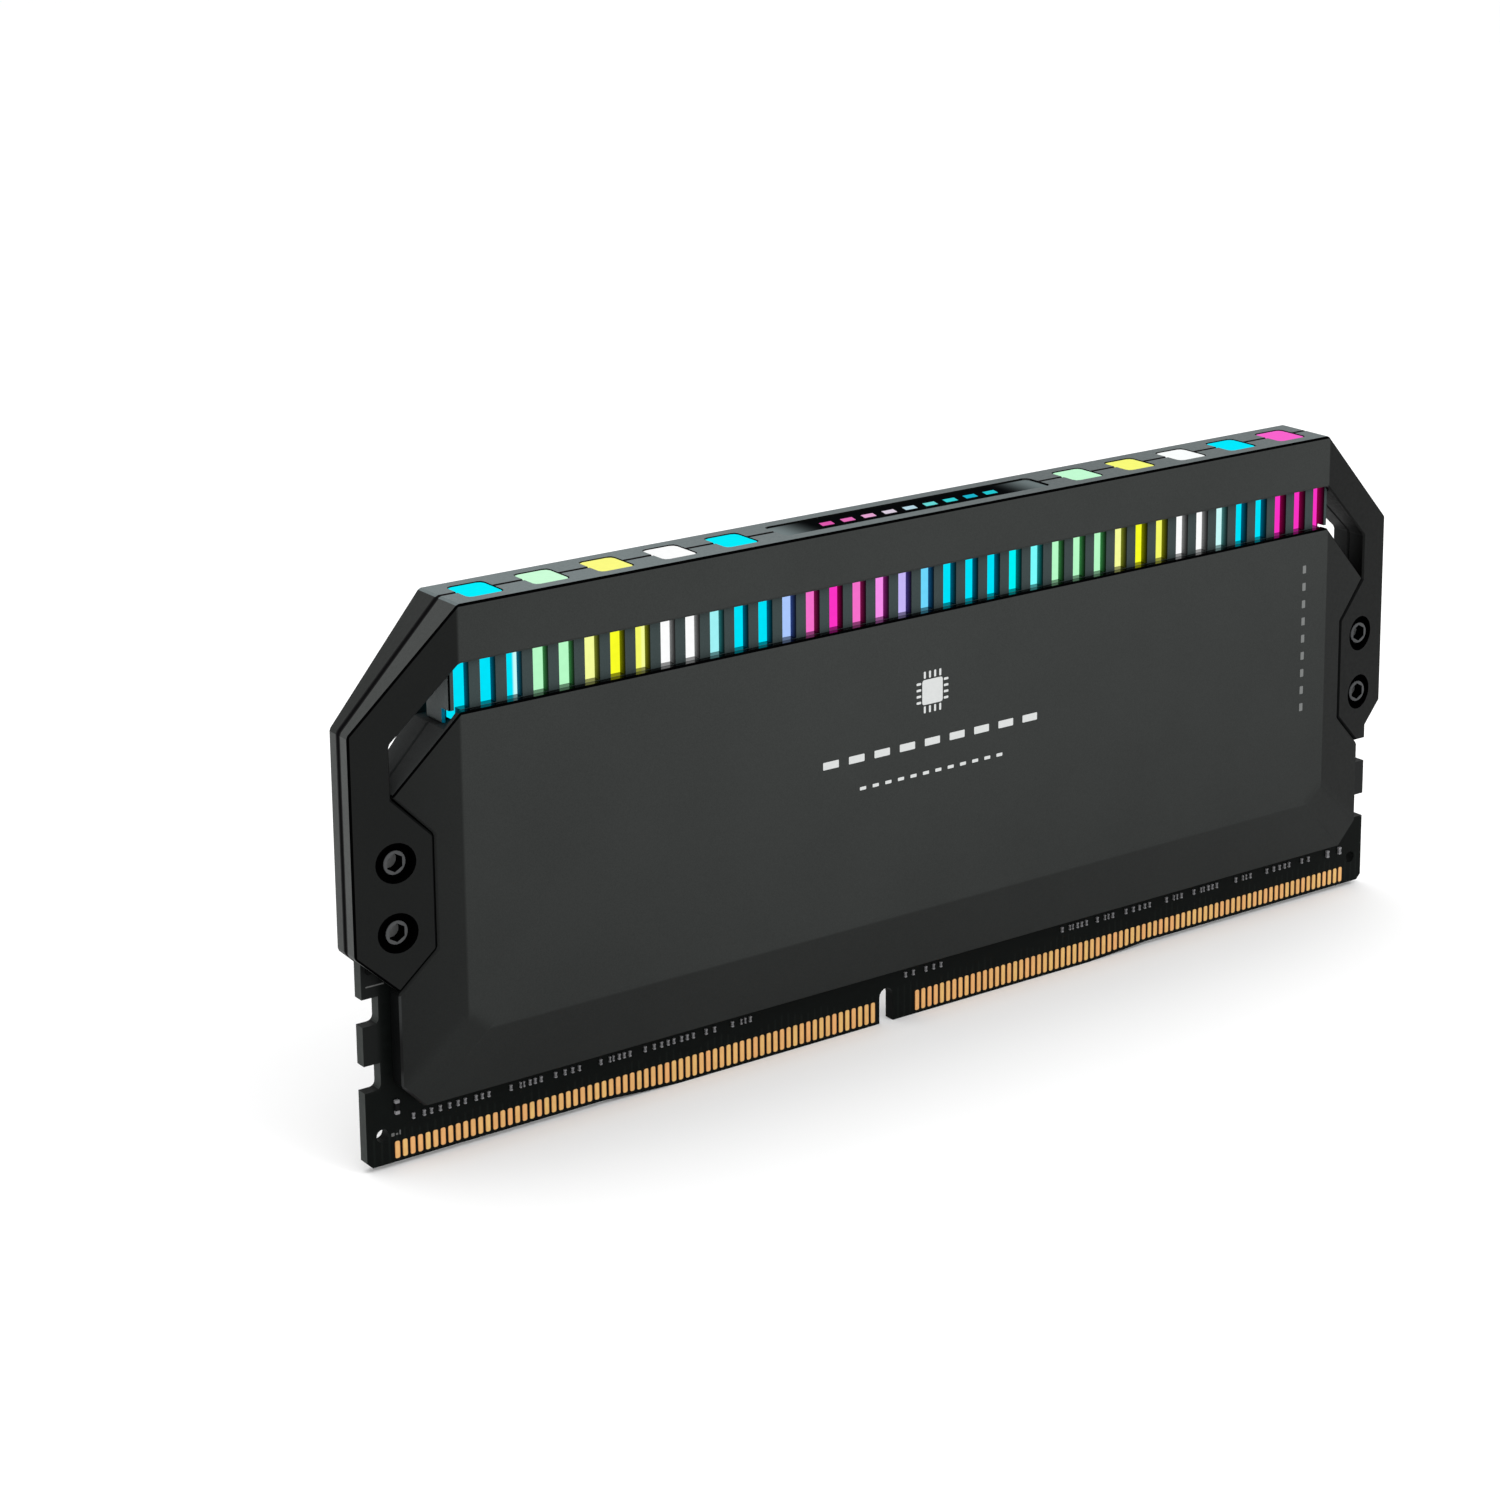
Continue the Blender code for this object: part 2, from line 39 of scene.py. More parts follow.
# ------------------------------------------------------------------ dimensions repeated from the CAD (mm)
HALF_THICK = 3.75                       # half of the module's thickness at the middle of each face
PLATEAU_X, PLATEAU_Z = 56.6, 13.2       # the flat middle of each face ends here and the facets begin
FACET_SLOPE = 0.174
BOARD_Y = 0.635                         # half of the board's thickness
EDGE_STEP, STEP_LEFT, STEP_RIGHT = 0.5, (-39.5, -30.6), (24.65, 33.15)
FINGER_PITCH, FIRST_FINGER_X = 0.85, -63.325
FINGER_BANKS = {"left": range(0, 69), "right": range(75, 150)}
SLIT_PITCH, SLITS = 2.948, 39
GRILLE_X, GRILLE_Y, LIGHT_Y = 57.4, 2.87, 1.84
WINDOW_X, WINDOW_Z = (22.7, 30.15, 37.6, 45.05, 52.5), 55.8
SCREW_X, SCREW_Z = 63.5, (24.55, 31.55)
NEAR_BORE = 2.2                         # just past the radius of the bores round the screws

# ------------------------------------------------------------------ sizes of the drawn parts (mm)
FINGER_W, FINGER_TOP, FINGER_LOW, FINGER_CORNER = 0.56, 2.62, 0.35, 0.19
PANE_W, PANE_D, PANE_CORNER = 3.95, 4.3, 0.6
SHAFT_R, HEAD_R, SOCKET_R = 0.75, 1.2, 0.8


def lean(x, z):
    """Half thickness of the shell at (x, z): flat in the middle, folding back at the ends and the foot."""
    return HALF_THICK - FACET_SLOPE * max(abs(x) - PLATEAU_X, PLATEAU_Z - z, 0.0)


def srgb(r, g, b):
    """A display colour, 0 to 255, as the linear colour a shader takes."""
    def linear(c):
        return c / 12.92 if c <= 0.04045 else ((c + 0.055) / 1.055) ** 2.4
    return tuple(linear(c / 255) for c in (r, g, b)) + (1.0,)


# ------------------------------------------------------------------ camera
YAW, PITCH_DOWN, ROLL = 35.281, 12.8635, 0.5638        # degrees
ORIGIN_SEEN = (17.1661, 372.6647, -63.4822)            # the origin from the camera: right, ahead, up (mm)
LENS, SHIFT_Y = 83.3928, -0.22


def make_camera():
    turn = (Matrix.Rotation(math.radians(ROLL), 3, "Y").transposed()
            @ Matrix.Rotation(math.radians(PITCH_DOWN), 3, "X") @ Matrix.Rotation(math.radians(YAW), 3, "Z"))
    right, ahead, up = turn        # its rows
    place = -(turn.transposed() @ Vector(ORIGIN_SEEN)) * MM
    data = bpy.data.cameras.new("camera")
    data.sensor_width = 36.0
    data.lens, data.shift_y = LENS, SHIFT_Y
    data.clip_start, data.clip_end = 0.01, 50
    cam = link(bpy.data.objects.new("camera", data))
    cam.matrix_world = Matrix.Translation(place) @ Matrix((right, up, -ahead)).transposed().to_4x4()
    bpy.context.scene.camera = cam


# ------------------------------------------------------------------ node helpers
BUMP_DEPTH = 0.00003       # how deep the fine relief of every surface is, in metres


class Mat:
    """A node material: one Principled shader with helpers that build the patterns feeding it."""

    def __init__(self, name, **sockets):
        self.m = bpy.data.materials.new(name)
        self.m.use_nodes = True
        self.t = self.m.node_tree
        self.t.nodes.clear()
        self.out = self.t.nodes.new("ShaderNodeOutputMaterial")
        self.b = self.t.nodes.new("ShaderNodeBsdfPrincipled")
        self.t.links.new(self.b.outputs[0], self.out.inputs[0])
        self.set(**sockets)
        self.places = None

    def node(self, kind, **props):
        n = self.t.nodes.new(kind)
        for key, value in props.items():
            setattr(n, key, value)
        return n

    def put(self, sock, value):
        if isinstance(value, bpy.types.NodeSocket):
            self.t.links.new(value, sock)
        else:
            sock.default_value = value

    def object(self):
        """The node that gives a point's place on the object, one in each material."""
        if self.places is None:
            self.places = self.node("ShaderNodeTexCoord")
        return self.places.outputs["Object"]

    def split(self, vector):
        n = self.node("ShaderNodeSeparateXYZ")
        self.put(n.inputs[0], vector)
        return n.outputs

    def xyz(self):
        return self.split(self.object())

    def normal(self):
        return self.split(self.node("ShaderNodeNewGeometry").outputs["Normal"])

    def math(self, op, *values):
        n = self.node("ShaderNodeMath", operation=op)
        for i, value in enumerate(values):
            self.put(n.inputs[i], value)
        return n.outputs[0]

    def ramp(self, value, lo, hi, a=0.0, b=1.0, smooth=True):
        """a where value is at lo, b where it is at hi."""
        n = self.node("ShaderNodeMapRange", interpolation_type="SMOOTHSTEP" if smooth else "LINEAR")
        for i, v in enumerate((value, lo, hi, a, b)):
            self.put(n.inputs[i], v)
        return n.outputs[0]

    def noise(self, scale, detail=2.0, rough=0.5, stretch=None):
        vec = self.object()
        if stretch:
            mp = self.node("ShaderNodeMapping")
            mp.inputs["Scale"].default_value = stretch
            self.put(mp.inputs["Vector"], vec)
            vec = mp.outputs[0]
        n = self.node("ShaderNodeTexNoise")
        for key, value in (("Vector", vec), ("Scale", scale), ("Detail", detail), ("Roughness", rough)):
            self.put(n.inputs[key], value)
        return n.outputs["Fac"]

    def mix(self, fac, a, b, how="MIX"):
        n = self.node("ShaderNodeMix", data_type="RGBA", blend_type=how)
        for i, value in ((0, fac), (6, a), (7, b)):
            self.put(n.inputs[i], value)
        return n.outputs[2]

    def bump(self, height, strength):
        n = self.node("ShaderNodeBump")
        for key, value in (("Strength", strength), ("Distance", BUMP_DEPTH), ("Height", height)):
            self.put(n.inputs[key], value)
        self.set(Normal=n.outputs[0])

    def set(self, **sockets):
        for key, value in sockets.items():
            self.put(self.b.inputs[key.replace("_", " ")], value)
        return self


def scaled(colour, k):
    return tuple(c * k for c in colour[:3]) + (1.0,)


def fade(m, fac, a, b):
    """a where fac is 0 and b where it is 1; each is a number or a socket."""
    if isinstance(a, float) and isinstance(b, float):
        return m.math("MULTIPLY_ADD", fac, b - a, a)
    return m.math("MULTIPLY_ADD", fac, m.math("SUBTRACT", b, a), a)


# the folds round a plate's lower corner: a point (x, z) of each in mm, its normal, and its softness in metres
CORNER_FOLDS = (((56.6, 15.2), (-0.672, -0.741), 0.0009),
                ((54.3, 13.2), (0.715, 0.70), 0.0001),
                ((56.6, 15.2), (0.656, -0.754), 0.0009))


# the painted light and shade below vary with the place on the object, whose ramps are in metres
def right_half(m):
    """0 on the left half of the module and 1 on the right."""
    return m.ramp(m.xyz()[0], -0.001, 0.001)


def fold_painted_shading(m, mid, ends):
    """Painted shade: how bright the middle of a face and its two end facets are drawn."""
    past = m.ramp(m.math("ABSOLUTE", m.xyz()[0]), (PLATEAU_X - 0.05) * MM, (PLATEAU_X + 0.3) * MM)
    return fade(m, past, mid, fade(m, right_half(m), *ends))


def foot_painted_shading(m, tone, foot, corner):
    """The same painted shading with the facet along the foot and the two lower corner facets put in, each
    drawn darker as painted shade.
    """
    x, _, z = m.xyz()
    across = m.math("ABSOLUTE", x)
    beyond = []
    for (px, pz), (nx, nz), soft in CORNER_FOLDS:
        away = m.math("MULTIPLY_ADD", across, nx, m.math("MULTIPLY_ADD", z, nz, -(px * nx + pz * nz) * MM))
        beyond.append(m.ramp(away, -soft, soft))
    below = m.ramp(z, (PLATEAU_Z - 0.3) * MM, (PLATEAU_Z + 0.05) * MM, 1.0, 0.0)
    low = m.math("MULTIPLY", below, m.math("SUBTRACT", 1.0, beyond[1]))
    tone = fade(m, low, tone, m.ramp(x, -0.057, 0.057, *foot, False))
    inside = m.math("MULTIPLY", m.math("MULTIPLY", beyond[0], beyond[1]), beyond[2])
    return fade(m, inside, tone, fade(m, right_half(m), *corner))


def coating(name, colour, rough=0.5, spec=0.05, tone=None, seam=None):
    """Fine blasted and dyed metal: grain, faint broad mottling, painted light and shade by place (tone) and a
    dark seam at y = 0.
    """
    m = Mat(name, Specular_IOR_Level=spec)
    fine = m.noise(7000, 2.0, 0.6)
    grey = m.math("ADD", m.ramp(fine, 0.3, 0.7, 0.9, 1.1, False),
                  m.ramp(m.noise(90, 3), 0.3, 0.7, -0.04, 0.04, False))
    # tone paints light and shade into the base colour
    if tone:
        grey = m.math("MULTIPLY", grey, tone(m))
    same = m.node("ShaderNodeCombineColor")
    for channel in same.inputs:
        m.put(channel, grey)
    base = m.mix(1.0, colour, same.outputs[0], "MULTIPLY")
    if seam:
        line = m.ramp(m.math("ABSOLUTE", m.xyz()[1]), seam * MM, (seam + 0.05) * MM)
        base = m.mix(line, srgb(4, 4, 5), base)
    m.set(Base_Color=base, Roughness=m.ramp(m.noise(2500), 0.3, 0.7, rough - 0.04, rough + 0.05))
    m.bump(fine, 0.15)
    return m.m


# a near-black for faces that stand in shade: painted shade, glossy only where spec and rough make it so
def painted_shade_black(name, rough, level, spec):
    m = Mat(name, Specular_IOR_Level=spec)
    film = m.noise(900)
    deep, pale = srgb(level * 0.6, level * 0.6, level * 0.65), srgb(level, level, level * 1.1)
    m.set(Base_Color=m.mix(film, deep, pale),
          Roughness=m.ramp(m.noise(1800, 3), 0.3, 0.7, rough * 0.8, rough * 1.3))
    m.bump(film, 0.03)
    return m.m


def simple(name, colour, rough, spec=0.4, scale=1500, vary=0.15):
    """A plain dyed or printed surface, mottled by vary either way."""
    m = Mat(name, Specular_IOR_Level=spec)
    n = m.noise(scale, 3, 0.6)
    m.set(Base_Color=m.mix(n, scaled(colour, 1 - vary), scaled(colour, 1 + vary)),
          Roughness=m.ramp(m.noise(scale * 2), 0.3, 0.7, rough - 0.06, rough + 0.06))
    m.bump(n, 0.1)
    return m.m


def lamp(name, colour, second=None):
    """A lit diffuser. A second colour takes over in the last third of each strip."""
    m = Mat(name, Specular_IOR_Level=0.0, Roughness=0.6)
    glow = m.mix(m.ramp(m.noise(1500), 0.35, 0.65), scaled(colour, 0.97), colour)
    if second:
        from_edge = m.math("ADD", m.xyz()[0], SLIT_PITCH / 2 * MM)
        phase = m.math("FRACT", m.math("DIVIDE", from_edge, SLIT_PITCH * MM))
        glow = m.mix(m.ramp(phase, 0.61, 0.71), glow, second)
    m.set(Base_Color=scaled(colour, 0.005), Emission_Color=glow, Emission_Strength=1.0)
    return m.m


# ------------------------------------------------------------------ mesh helpers
def link(ob):
    bpy.context.scene.collection.objects.link(ob)
    return ob


def shown(name, bm, mats):
    """An object made from bm, with its materials, riding on the frame's only body."""
    me = bpy.data.meshes.new(name)
    bm.to_mesh(me)
    bm.free()
    for m in mats:
        me.materials.append(m)
    ob = link(bpy.data.objects.new(name, me))
    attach(ob, "root")
    return ob


def new_piece(name, bm, mats, smooth=None):
    """A drawn piece; edges sharper than smooth degrees stay sharp."""
    bmesh.ops.recalc_face_normals(bm, faces=bm.faces)
    ob = shown(name, bm, mats)
    if smooth:
        for p in ob.data.polygons:
            p.use_smooth = True
        ob.data.set_sharp_from_angle(angle=math.radians(smooth))
    return ob


def copied(node, name, mats, pick):
    """A piece with the node's exact shape, whose faces take their material from pick(centre, normal)."""
    bm = bmesh.new()
    bm.from_mesh(NODES[node].data)
    bmesh.ops.remove_doubles(bm, verts=bm.verts, dist=1e-7)
    bmesh.ops.dissolve_limit(bm, angle_limit=math.radians(0.3), verts=bm.verts, edges=bm.edges)
    bm.normal_update()
    for f in bm.faces:
        f.material_index = pick(f.calc_center_median() / MM, f.normal)
        f.smooth = False
    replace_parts(shown(name, bm, mats), node)


def add_prism(bm, pts, y0, y1, mat=0, inset=0.0, rise=0.0):
    """A prism of the (x, z) outline from y0 to y1 in mm, its y1 end narrowed by inset over the last rise."""
    cx = sum(x for x, _ in pts) / len(pts)
    cz = sum(z for _, z in pts) / len(pts)

    def ring(y, d=0.0):
        out = []
        for x, z in pts:
            vx, vz = x - cx, z - cz
            n = math.hypot(vx, vz) or 1
            out.append(bm.verts.new(((x - vx / n * d) * MM, y * MM, (z - vz / n * d) * MM)))
        return out
    s = 1 if y1 > y0 else -1
    rings = [ring(y0), ring(y1 - s * rise)]
    if rise:
        rings.append(ring(y1, inset))
    join(bm, rings, [mat] * (len(rings) + 1))


def join(bm, rings, mats):
    """The closed skin through rings of vertices: mats names each band's material, then the two ends'."""
    for a, b, mat in zip(rings, rings[1:], mats):
        for i in range(len(a)):
            j = (i + 1) % len(a)
            bm.faces.new((a[i], a[j], b[j], b[i])).material_index = mat
    bm.faces.new(rings[0][::-1]).material_index = mats[-2]
    bm.faces.new(rings[-1]).material_index = mats[-1]


def rounded(x0, x1, z0, z1, r, n=3):
    """A rectangle whose corners are arcs of radius r in n steps."""
    pts = []
    centres = ((x1 - r, z1 - r), (x0 + r, z1 - r), (x0 + r, z0 + r), (x1 - r, z0 + r))
    for (cx, cz), start in zip(centres, (0, 90, 180, 270)):
        for i in range(n + 1):
            a = math.radians(start + 90 * i / n)
            pts.append((cx + r * math.cos(a), cz + r * math.sin(a)))
    return pts


def add_box(bm, x0, x1, y0, y1, z0, z1, mat=0):
    v = [bm.verts.new((x * MM, y * MM, z * MM)) for z in (z0, z1) for y in (y0, y1) for x in (x0, x1)]
    for q in ((0, 2, 3, 1), (4, 5, 7, 6), (0, 1, 5, 4), (1, 3, 7, 5), (3, 2, 6, 7), (2, 0, 4, 6)):
        bm.faces.new([v[i] for i in q]).material_index = mat


# ------------------------------------------------------------------ materials of the shell
# painted light and shade on the plates: the flat middle darker towards both ends and paler high up, and the
# end, foot and corner facets painted darker
def plate_painted_shading(m):
    x, _, z = m.xyz()
    mid = m.math("MULTIPLY", m.ramp(x, -0.060, -0.010, 0.86, 1.0), m.ramp(z, 0.012, 0.046, 0.85, 1.05, False))
    mid = m.math("MULTIPLY", mid, m.ramp(x, 0.0, 0.057, 0.94, 0.875, False))
    left = m.ramp(x, -0.0645, -0.0572, 0.315, 0.39, False)
    return foot_painted_shading(m, fold_painted_shading(m, mid, (left, 0.33)), foot=(0.455, 0.57), corner=(0.455, 0.50))


# painted shade on the frame's faces: a little darker towards the left end, with the end facets at about a
# quarter of the middle's brightness
def frame_painted_shading(m):
    return fold_painted_shading(m, m.ramp(m.xyz()[0], -0.060, -0.030, 0.90, 1.0), (0.27, 0.21))


# painted light and shade along the top: brightest at the left, darker towards the right, and a little paler
# again at the right end
def top_painted_shading(m):
    x = m.xyz()[0]
    falling = m.ramp(x, -0.036, 0.014, 0.97, 0.60, False)
    return m.math("ADD", falling, m.ramp(x, 0.018, 0.057, 0.0, 0.14, False))


def side_painted_shading(m):
    """The frame's outer edge with painted shade: a little darker on the rear half, and dark where it meets
    the board.
    """
    _, y, z = m.xyz()
    return m.math("MULTIPLY", m.ramp(y, -0.0002, 0.0002, 1.0, 0.8), m.ramp(z, 0.0202, 0.0218, 0.1, 1.0))


# painted shade: the rear half of each diagonal face at under half the front half's brightness
def diagonal_painted_shading(m):
    return m.ramp(m.xyz()[1], -0.0002, 0.0002, 1.0, 0.45)


def wall_tone(m):
    """The lamp's light dies away along the slit's wall towards the front."""
    near = m.ramp(m.math("ABSOLUTE", m.xyz()[1]), LIGHT_Y * MM, GRILLE_Y * MM, 1.0, 0.0, False)
    return m.math("MULTIPLY_ADD", m.math("POWER", near, 1.5), 6.5, 0.15)


def rim_tone(m):
    """The plate's chamfered edge catches light high up and again just above its lower corner."""
    z = m.xyz()[2]
    low = m.math("MULTIPLY", m.ramp(z, 0.0078, 0.0088, 0.05, 0.5), m.ramp(z, 0.0098, 0.0108, 1.0, 0.15))
    return m.math("ADD", low, m.ramp(z, 0.0130, 0.0165, 0.0, 0.6))


def opening_painted_shading(m):
    """Painted shade on the wall of an end opening: darkest at the front face and paler towards the rear and
    the top.
    """
    _, y, z = m.xyz()
    return m.math("MULTIPLY", m.ramp(y, -0.0028, 0.0018, 0.03, 0.88), m.ramp(z, 0.0435, 0.0445, 1.0, 1.35))


# The whole shell is one dark metal. Each kind of face takes its own copy of it, paler or darker as painted
# light and shade: the top, sides and diagonals paler than the faces, and the inner faces nearly black. The
# black edge material is painted shade on the outer chamfers, in the screw bores and in the recess above the
# light bar. The ledge is painted black as shade under its real gloss, and the grille's end faces are painted
# paler than its fins.
PLATE = coating("plate_face", srgb(51, 53, 52), tone=plate_painted_shading)
FACE = coating("frame_face", srgb(49, 51, 50), tone=frame_painted_shading)
TOP = coating("frame_top", srgb(92, 102, 103), 0.5, 0.12, seam=0.26, tone=top_painted_shading)
SIDE = coating("frame_side", srgb(76, 78, 77), seam=0.38, tone=side_painted_shading)
DIAGONAL = coating("frame_diagonal", srgb(62, 64, 63), seam=0.38, tone=diagonal_painted_shading)
SHOULDER = coating("shoulder", srgb(50, 52, 52), 0.55)
INNER = coating("shell_inner", srgb(12, 13, 13), 0.6, 0.02)
OPENING = coating("opening_wall", srgb(46, 47, 47), 0.55, tone=opening_painted_shading)
RIM = coating("plate_rim", srgb(52, 54, 54), 0.45, 0.1, tone=rim_tone)
LINE = painted_shade_black("edge_line", 0.6, 3, 0.0)
LEDGE = painted_shade_black("ledge_gloss", 0.14, 2, 0.09)
FIN = coating("fin_face", srgb(54, 64, 64), 0.45, 0.05)
FINEND = coating("fin_end", srgb(88, 94, 94), 0.45, 0.06)


# A face is picked by its centre c in mm and its normal n. FACING looks to the front or the rear, and
# TILTED is a chamfer between such a face and an edge.
FACING, TILTED = 0.93, 0.25


def near_screw(c):
    return abs(abs(c.x) - SCREW_X) < NEAR_BORE and min(abs(c.z - z) for z in SCREW_Z) < NEAR_BORE


def outwards(c, n, middle_z):
    """Whether a face along the outline looks away from the middle of its shell."""
    return n.x * c.x + n.z * (c.z - middle_z) > 0


def frame_pick(c, n):
    """0 face, 1 side, 2 inner, 3 line, 4 top, 5 diagonal, 6 wall of the end openings"""
    # the walls of the screw bores take the black edge material as painted shade
    if near_screw(c) and abs(c.y) < lean(c.x, c.z) - 0.05:
        return 3
    outward = outwards(c, n, 33.0)
    if abs(n.y) > FACING:
        return 0 if abs(c.y) > lean(c.x, c.z) - 0.06 else 2
    if abs(n.y) > TILTED and abs(c.y) > 1.0:
        return 3 if outward else (2 if c.z < 38.0 else 0)
    # the walls of the recess above the light bar are painted black as shade
    if c.z > 50 and abs(n.z) < 0.2 and abs(c.x) < 56 and abs(c.y) < 2.5:
        return 3
    if n.z > 0.9 and c.z > 55.5:
        return 4
    if outward and c.z > 44 and abs(n.z) > 0.3:
        return 5
    if c.z > 37.5 and abs(c.x) > 56.4 and not outward:
        return 6
    return 1 if outward else 2


def plate_pick(c, n):
    """0 face, 1 shoulder, 2 inner, 3 line, 4 ledge, 5 rim"""
    if n.z > 0.9 and c.z > 45:
        return 4
    if abs(n.y) > FACING:
        return 0 if abs(c.y) > 2.3 else 2
    if abs(n.y) > TILTED and abs(c.y) > 1.0:
        if c.z > 38.1:
            return 3
        if c.z < 18.2:
            return 5 if abs(n.x) > 0.5 else 2
        return 0
    return 1 if c.z > 38.1 and outwards(c, n, 25.0) else 2


def grille_pick(c, n):
    """0 fin, 1 end, 2 line, then a wall and a sill for the light of each slit"""
    if abs(n.y) > 0.7 and abs(c.y) > GRILLE_Y - 0.05:
        return 0
    if abs(n.y) > TILTED and abs(c.y) > 2.5:
        return 2
    if abs(n.x) > 0.7 and abs(c.x) > GRILLE_X - 0.1:
        return 1
    if abs(c.x) > GRILLE_X - 0.5 and n.x * c.x > 0:
        return 2
    slit = max(0, min(SLITS - 1, round(c.x / SLIT_PITCH) + SLITS // 2))
    light = list(PALETTE).index(STRIPS[slit].split("_")[0])
    sill = n.z > 0.7 and c.z < 46
    return 3 + 2 * light + sill


def wall_and_sill(light, rgb):
    """The dark metal each side of a slit, and the polished ledge under it, both tinted by its light."""
    wall = coating("wall_" + light, srgb(*(62 * (c / 255) ** 2.5 for c in rgb)), 0.4, 0.02, tone=wall_tone)
    sill = Mat("sill_" + light, Specular_IOR_Level=1.0)
    film = sill.noise(1500)
    tint = srgb(*(26 * (c / 255) ** 1.5 for c in rgb))
    sill.set(Base_Color=sill.mix(film, tint, scaled(tint, 0.6)),
             Roughness=sill.ramp(film, 0.3, 0.7, 0.08, 0.14))
    return [wall, sill.m]


def build_shell():
    for side in ("front", "rear"):
        copied("frame_" + side, "shell_frame_" + side, [FACE, SIDE, INNER, LINE, TOP, DIAGONAL, OPENING],
               frame_pick)
        copied("heat_spreader_" + side, "shell_plate_" + side, [PLATE, SHOULDER, INNER, LINE, LEDGE, RIM],
               plate_pick)
    fins = [FIN, FINEND, LINE]
    for light, rgb in PALETTE.items():
        fins += wall_and_sill(light, rgb)
    copied("grille", "light_grille", fins, grille_pick)


# ------------------------------------------------------------------ lights in the module
PALETTE = {
    "cyan": (0, 228, 251), "teal": (0, 245, 248), "aqua": (121, 254, 254), "ice": (160, 243, 246),
    "frost": (202, 251, 250), "sky": (109, 215, 254), "haze": (170, 200, 254), "lavender": (199, 184, 250),
    "rose": (249, 143, 237), "pink": (248, 112, 204), "magenta": (252, 51, 197), "mint": (182, 252, 199),
    "lemon": (247, 253, 155), "citron": (247, 250, 105), "yellow": (250, 254, 40), "white": (254, 255, 255),
}
# the light behind each slit from left to right; two names are two colours in one strip
STRIPS = ("cyan cyan cyan_frost mint mint lemon yellow citron_lemon white white ice cyan cyan haze pink "
          "magenta pink rose lavender sky cyan cyan cyan teal aqua mint mint mint lemon yellow citron "
          "white white frost cyan cyan magenta magenta magenta").split()
# the ten windows along the top
TOPS = ((6, 240, 254), (205, 255, 217), (254, 252, 132), (254, 255, 255), (6, 238, 252),
        (196, 253, 212), (250, 252, 122), (252, 255, 255), (4, 234, 255), (250, 100, 206))


def window_outline(cx, w, d, corner):
    """A rectangle in (x, y) with softened corners."""
    pts = []
    for sx, sy in ((-1, -1), (-1, 1), (1, 1), (1, -1)):
        turn = [(corner, 0.0), (corner * 0.3, corner * 0.3), (0.0, corner)]
        pts += [(cx + sx * (w / 2 - a), sy * (d / 2 - b)) for a, b in (turn if sx * sy > 0 else turn[::-1])]
    return pts


def add_tile(bm, pts, z0, z1, mat):
    """A flat tile with the (x, y) outline."""
    lo = [bm.verts.new((a * MM, b * MM, z0 * MM)) for a, b in pts]
    hi = [bm.verts.new((a * MM, b * MM, z1 * MM)) for a, b in pts]
    n = len(pts)
    faces = [bm.faces.new(hi), bm.faces.new(lo[::-1])]
    faces += [bm.faces.new((lo[i], lo[(i + 1) % n], hi[(i + 1) % n], hi[i])) for i in range(n)]
    for f in faces:
        f.material_index = mat


def build_bar():
    """One lit strip behind each slit, front and rear, and the clear core that joins them."""
    core = Mat("lit_core", Specular_IOR_Level=0.3, Roughness=0.5)
    core.set(Base_Color=core.mix(core.noise(800), srgb(150, 156, 158), srgb(176, 180, 182)))
    mats, index = [], {}
    for strip in dict.fromkeys(STRIPS):
        index[strip] = len(mats)
        mats.append(lamp("lit_" + strip, *(srgb(*PALETTE[colour]) for colour in strip.split("_"))))
    bm = bmesh.new()
    half = SLIT_PITCH / 2 - 0.02
    for j, strip in enumerate(STRIPS):
        x = (j - SLITS // 2) * SLIT_PITCH
        outline = rounded(max(x - half, -56.75), min(x + half, 56.75), 44.35, 50.6, 0.05, 1)
        for s in (-1, 1):
            add_prism(bm, outline, s * 1.2, s * LIGHT_Y, index[strip])
    add_box(bm, -56.6, 56.6, -1.19, 1.19, 44.3, 50.58, len(mats))
    add_box(bm, -55.3, 55.3, -1.15, 1.15, 50.62, 54.9, len(mats))
    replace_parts(new_piece("lit_bar", bm, mats + [core.m]), "light_bar")


def build_windows():
    bm = bmesh.new()
    for i, x in enumerate([-x for x in WINDOW_X[::-1]] + list(WINDOW_X)):
        add_tile(bm, window_outline(x, PANE_W, PANE_D, PANE_CORNER), 54.95, WINDOW_Z + 0.1, i)
    mats = [lamp(f"top_light_{i}", srgb(*colour)) for i, colour in enumerate(TOPS, 1)]
    new_piece("lit_windows", bm, mats)


# ------------------------------------------------------------------ gold fingers
def edge_height(x):
    """Height of the board's lower edge: raised towards both ends, with a ramp on each side."""
    (end_left, low_left), (low_right, end_right) = STEP_LEFT, STEP_RIGHT
    rise = max((low_left - x) / (low_left - end_left), (x - low_right) / (end_right - low_right), 0.0)
    return EDGE_STEP * min(rise, 1.0)


def finger_place(m):
    """How many pitches a point is along the row, and how far it is from the middle of its finger."""
    start = FIRST_FINGER_X - FINGER_PITCH / 2
    along = m.math("DIVIDE", m.math("ADD", m.xyz()[0], -start * MM), FINGER_PITCH * MM)
    return along, m.math("ABSOLUTE", m.math("SUBTRACT", m.math("FRACT", along), 0.5))


